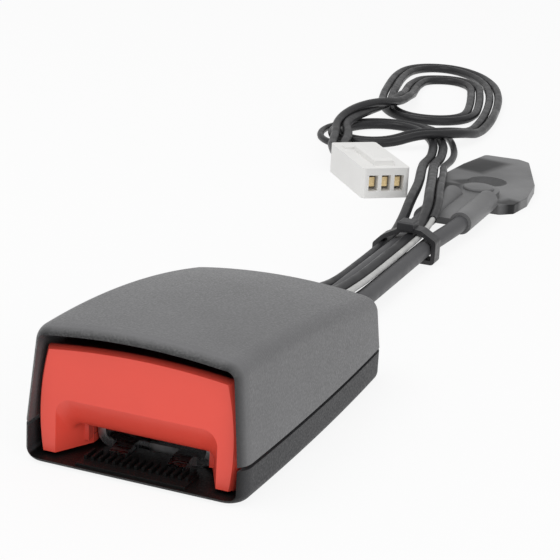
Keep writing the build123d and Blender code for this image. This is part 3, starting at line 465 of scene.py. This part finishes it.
# the switch leads: from the grommet, along the stalk, side by side through their loops, to the connector
leads = {
    "diameter": 0.0032,
    "wireDiameter": 0.0016,
    "sleeveDiameter": 0.0024,
    "sleeveFrom": 4,  # the wire's black sleeve starts halfway between this point and the next
    "halfPitch": 0.00172,
    "twistFrom": 39, "twistSpan": 4, "liftOver": 0.0024, "dropUnder": -0.0005,
    "curveSteps": 6, "roundSteps": 3,
    "leadAStart": [
        (-0.0029, 0.0403, 0.0096), (-0.0029, 0.0535, 0.0096), (-0.0063, 0.0665, 0.0070),
        (-0.0056, 0.0845, 0.0031), (-0.0056, 0.1125, 0.0031), (-0.0058, 0.1345, 0.0033),
        (-0.0074, 0.1485, 0.0054), (-0.0104, 0.1635, 0.0068), (-0.0150, 0.1865, 0.0062),
        (-0.0206, 0.2065, 0.0052), (-0.0266, 0.2285, 0.0017), (-0.0269, 0.2365, 0.0017),
    ],
    "leadBStart": [
        (0.0006, 0.0403, 0.0094), (0.0006, 0.0535, 0.0094), (0.0016, 0.0785, 0.0063),
        (0.0015, 0.1105, 0.0063), (0.0014, 0.1345, 0.0065), (-0.0012, 0.1515, 0.0089),
        (-0.0060, 0.1685, 0.0092), (-0.0116, 0.1885, 0.0066), (-0.0172, 0.2085, 0.0052),
        (-0.0232, 0.2295, 0.0017), (-0.0235, 0.2365, 0.0017),
    ],
    "loops": [
        (-0.0268, 0.2445, 0.0017), (-0.0305, 0.2585, 0.0017), (-0.0370, 0.2715, 0.0017),
        (-0.0465, 0.2800, 0.0017), (-0.0570, 0.2805, 0.0017), (-0.0660, 0.2735, 0.0017),
        (-0.0696, 0.2610, 0.0017), (-0.0655, 0.2495, 0.0017), (-0.0550, 0.2460, 0.0018),
        (-0.0455, 0.2500, 0.0024), (-0.0385, 0.2560, 0.0050), (-0.0315, 0.2610, 0.0053),
        (-0.0262, 0.2695, 0.0046), (-0.0246, 0.2825, 0.0019), (-0.0262, 0.3035, 0.0017),
        (-0.0305, 0.3285, 0.0017), (-0.0365, 0.3535, 0.0017), (-0.0445, 0.3745, 0.0017),
        (-0.0550, 0.3900, 0.0017), (-0.0675, 0.3985, 0.0017), (-0.0780, 0.3955, 0.0017),
        (-0.0830, 0.3845, 0.0017), (-0.0820, 0.3685, 0.0017), (-0.0780, 0.3485, 0.0017),
        (-0.0735, 0.3285, 0.0017), (-0.0675, 0.3095, 0.0017), (-0.0585, 0.2965, 0.0017),
        (-0.0470, 0.2935, 0.0018), (-0.0370, 0.2990, 0.0019), (-0.0342, 0.3105, 0.0018),
        (-0.0383, 0.3305, 0.0017), (-0.0430, 0.3485, 0.0017), (-0.0486, 0.3670, 0.0017),
        (-0.0596, 0.3755, 0.0017), (-0.0710, 0.3690, 0.0017), (-0.0710, 0.3555, 0.0017),
        (-0.0690, 0.3445, 0.0017), (-0.0655, 0.3305, 0.0028), (-0.0625, 0.3175, 0.0052),
        (-0.0615, 0.3045, 0.0054), (-0.0625, 0.2925, 0.0056), (-0.0650, 0.2805, 0.0057),
        (-0.0670, 0.2675, 0.0056), (-0.0660, 0.2545, 0.0054),
    ],
    "leadAEnd": [
        (-0.0622, 0.2395, 0.0050), (-0.0566, 0.2191, 0.0048), (-0.0498, 0.2104, 0.0048),
    ],
    "leadBEnd": [
        (-0.0580, 0.2415, 0.0050), (-0.0539, 0.2225, 0.0048), (-0.0465, 0.2130, 0.0048),
    ],
    "signalWire": [
        (0.0046, 0.0403, 0.0096), (0.0046, 0.0535, 0.0096), (0.0041, 0.0785, 0.0068),
        (0.0041, 0.1105, 0.0068), (0.0039, 0.1345, 0.0070), (0.0016, 0.1525, 0.0089),
        (-0.0036, 0.1705, 0.0094), (-0.0092, 0.1915, 0.0064), (-0.0148, 0.2125, 0.0050),
        (-0.0204, 0.2305, 0.0009), (-0.0208, 0.2445, 0.0009), (-0.0250, 0.2595, 0.0009),
        (-0.0320, 0.2755, 0.0009), (-0.0430, 0.2860, 0.0009), (-0.0570, 0.2871, 0.0009),
        (-0.0695, 0.2795, 0.0009), (-0.0755, 0.2645, 0.0009), (-0.0725, 0.2495, 0.0009),
        (-0.0635, 0.2405, 0.0009), (-0.0545, 0.2365, 0.0026), (-0.0487, 0.2227, 0.0048),
        (-0.0432, 0.2156, 0.0048),
    ],
}


def pairPoints(points, side):
    # one lead of the pair: to one side of the loops' centre line, and past the other lead where they swap
    placed = []
    for index, place in enumerate(points):
        before = Vector(points[max(index - 1, 0)])
        after = Vector(points[min(index + 1, len(points) - 1)])
        along = (after - before).to_2d().normalized()
        turn = math.pi * min(max((index - leads["twistFrom"]) / leads["twistSpan"], 0), 1)
        shift = side * leads["halfPitch"] * math.cos(turn)
        lift = (leads["liftOver"] if side > 0 else leads["dropUnder"]) * math.sin(turn)
        placed.append((place[0] - along.y * shift, place[1] + along.x * shift, place[2] + lift))
    return placed


def layLead(name, points, diameter, finish):
    curve = bpy.data.curves.new(name, "CURVE")
    curve.dimensions = "3D"
    spline = curve.splines.new("NURBS")
    spline.points.add(len(points) - 1)
    for control, place in zip(spline.points, points):
        control.co = (*place, 1)
    spline.order_u = 3
    spline.use_endpoint_u = True
    curve.resolution_u = leads["curveSteps"]
    curve.bevel_depth = diameter / 2
    curve.bevel_resolution = leads["roundSteps"]
    curve.use_fill_caps = True
    curve.materials.append(materials[finish])
    lead = bpy.data.objects.new(name, curve)
    bpy.context.collection.objects.link(lead)
    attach(lead, "head")
    return lead


routeA = leads["leadAStart"] + pairPoints(leads["loops"], 1) + leads["leadAEnd"]
routeB = leads["leadBStart"] + pairPoints(leads["loops"], -1) + leads["leadBEnd"]
sleeveFrom = leads["sleeveFrom"]
sleeveStart = Vector(leads["signalWire"][sleeveFrom]).lerp(Vector(leads["signalWire"][sleeveFrom + 1]), 0.5)
sleeveRoute = [tuple(sleeveStart)] + leads["signalWire"][sleeveFrom + 1:]
leadA = layLead("leadA", routeA, leads["diameter"], "lead")
leadB = layLead("leadB", routeB, leads["diameter"], "lead")
signalWire = layLead("signalWire", leads["signalWire"], leads["wireDiameter"], "wire")
wireSleeve = layLead("wireSleeve", sleeveRoute, leads["sleeveDiameter"], "lead")
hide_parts("lead_a", "lead_a_tail", "lead_hank")
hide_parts("lead_b", "lead_b_tail")
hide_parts("signal_wire", "signal_wire_tail")
print("leads laid")

# coil springs wound in place of the model's springs: "pair" is the width of each where two lie side by side,
# "wind" the way round the axis, and "keep" the share of the length that is left at the joint's limit
springs = {
    "button_springs": {
        "pair": 0.0044, "wire": 0.00055, "turns": 7, "axis": 1, "wind": -1,
        "joint": "button_press", "keep": 0.542,
    },
    "latch_spring": {
        "wire": 0.0007, "turns": 5.5, "axis": 2, "wind": 1, "joint": "latch_lift", "keep": 0.60,
    },
    "ejector_spring": {
        "wire": 0.0005, "turns": 11, "axis": 1, "wind": -1, "joint": "ejector_slide", "keep": 0.667,
    },
    "plunger_spring": {
        "wire": 0.0003, "turns": 4, "axis": 2, "wind": 1, "joint": "switch_travel", "keep": 0.62,
    },
}
coilDetail = {"sides": 7, "stepsPerTurn": 16}


def meshPiece(name, bm, finish, body):
    mesh = bpy.data.meshes.new(name)
    bmesh.ops.recalc_face_normals(bm, faces=bm.faces)
    for face in bm.faces:
        face.smooth = True
    bm.to_mesh(mesh)
    bm.free()
    mesh.materials.append(materials[finish])
    piece = bpy.data.objects.new(name, mesh)
    bpy.context.collection.objects.link(piece)
    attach(piece, body)
    return piece


def windCoil(bm, low, high, look):
    # a ring of wire, wound up inside the box between two corners
    axis, wire = look["axis"], look["wire"]
    along = Vector([float(i == axis) for i in range(3)])
    outward = Vector((1, 0, 0))
    radius = (min(high[i] - low[i] for i in range(3) if i != axis) - wire) / 2
    start = (low + high) / 2
    start[axis] = low[axis] + wire / 2
    steps = int(look["turns"] * coilDetail["stepsPerTurn"])
    rise = (high[axis] - low[axis] - wire) / steps
    facing = Matrix((along, outward, along.cross(outward))).transposed().to_4x4()
    place = Matrix.Translation(start + outward * radius) @ facing
    ring = bmesh.ops.create_circle(bm, segments=coilDetail["sides"], radius=wire / 2, matrix=place)["verts"]
    edges = [edge for edge in bm.edges if edge.is_wire]
    bmesh.ops.spin(
        bm, geom=ring + edges, cent=start, axis=along * look["wind"], dvec=along * rise,
        angle=2 * math.pi * look["turns"], steps=steps,
    )


def buildSpring(node, look):
    low, high = [Vector(corner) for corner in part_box(node)]
    spans = [(low, high)]
    if "pair" in look:
        spans = [
            (low, Vector((low.x + look["pair"], high.y, high.z))),
            (Vector((high.x - look["pair"], low.y, low.z)), high),
        ]
    bm = bmesh.new()
    for corner, opposite in spans:
        windCoil(bm, corner, opposite, look)
    openEdges = [edge for edge in bm.edges if edge.is_boundary]
    bmesh.ops.holes_fill(bm, edges=openEdges, sides=coilDetail["sides"])
    spring = meshPiece(node + "Coil", bm, "spring", "head")
    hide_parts(node)
    axis = look["axis"]
    anchor = (low + high) / 2
    anchor[axis] = high[axis]
    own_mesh(spring)


for node, look in springs.items():
    buildSpring(node, look)
print("springs wound")

# tapered boots where the leads leave the grommet and seals where they enter the plug, in metres
boots = {
    "leads": {"length": 0.0085, "wide": 0.00205, "narrow": 0.00172, "rings": 4, "ring": 0.00022},
    "wire": {"length": 0.0085, "wide": 0.0015, "narrow": 0.00095, "rings": 4, "ring": 0.00022},
    "seals": {"length": 0.0034, "wide": 0.00195, "narrow": 0.0018915, "rings": 2, "ring": 0.00014},
    # shares: of the wide end's radius, of each ring's step, of its height, and of the narrow end's radius
    "mouth": 0.6, "rise": (0.20, 0.34), "fall": (0.62, 0.80), "groove": 0.3, "lip": 0.7, "bulge": 0.06,
    "segments": 24,
}


def ringedSleeve(bm, look, axis, origin):
    # a tapered sleeve with rounded rings on it, made along +Z and laid along the axis
    wide, narrow, ring = look["wide"], look["narrow"], look["ring"]
    step = look["length"] / look["rings"]
    profile = [(wide * boots["mouth"], 0.0), (wide, 0.0)]
    for i in range(look["rings"]):
        radius = wide + (narrow - wide) * (i + 0.5) / look["rings"]
        profile += [
            (radius, (i + boots["rise"][0]) * step),
            (radius + ring, (i + boots["rise"][1]) * step),
            (radius + ring, (i + boots["fall"][0]) * step),
            (radius - ring * boots["groove"], (i + boots["fall"][1]) * step),
        ]
    profile += [(narrow, look["length"]), (narrow * boots["lip"], look["length"] + narrow * boots["bulge"])]
    points = [bm.verts.new((radius, 0, height)) for radius, height in profile]
    edges = [bm.edges.new(pair) for pair in zip(points, points[1:])]
    bmesh.ops.spin(
        bm, geom=points + edges, cent=(0, 0, 0), axis=(0, 0, 1), angle=2 * math.pi,
        steps=boots["segments"], use_merge=True,
    )
    bmesh.ops.remove_doubles(bm, verts=bm.verts, dist=1e-7)
    turn = Vector((0, 0, 1)).rotation_difference(Vector(axis)).to_matrix().to_4x4()
    bmesh.ops.transform(bm, matrix=Matrix.Translation(origin) @ turn, verts=bm.verts)


def buildSleeve(name, look, axis, origin):
    bm = bmesh.new()
    ringedSleeve(bm, look, axis, origin)
    return meshPiece(name, bm, "grommet", "head")


stalkAxis = (0, 1, 0)
buildSleeve("bootA", boots["leads"], stalkAxis, leads["leadAStart"][0])
buildSleeve("bootB", boots["leads"], stalkAxis, leads["leadBStart"][0])
buildSleeve("bootWire", boots["wire"], stalkAxis, leads["signalWire"][0])

plugAxis = (Vector(leads["leadAEnd"][-2]) - Vector(leads["leadAEnd"][-1])).normalized()
buildSleeve("sealA", boots["seals"], plugAxis, leads["leadAEnd"][-1])
buildSleeve("sealB", boots["seals"], plugAxis, leads["leadBEnd"][-1])
buildSleeve("sealWire", boots["seals"], plugAxis, leads["signalWire"][-1])
print("boots and seals made")
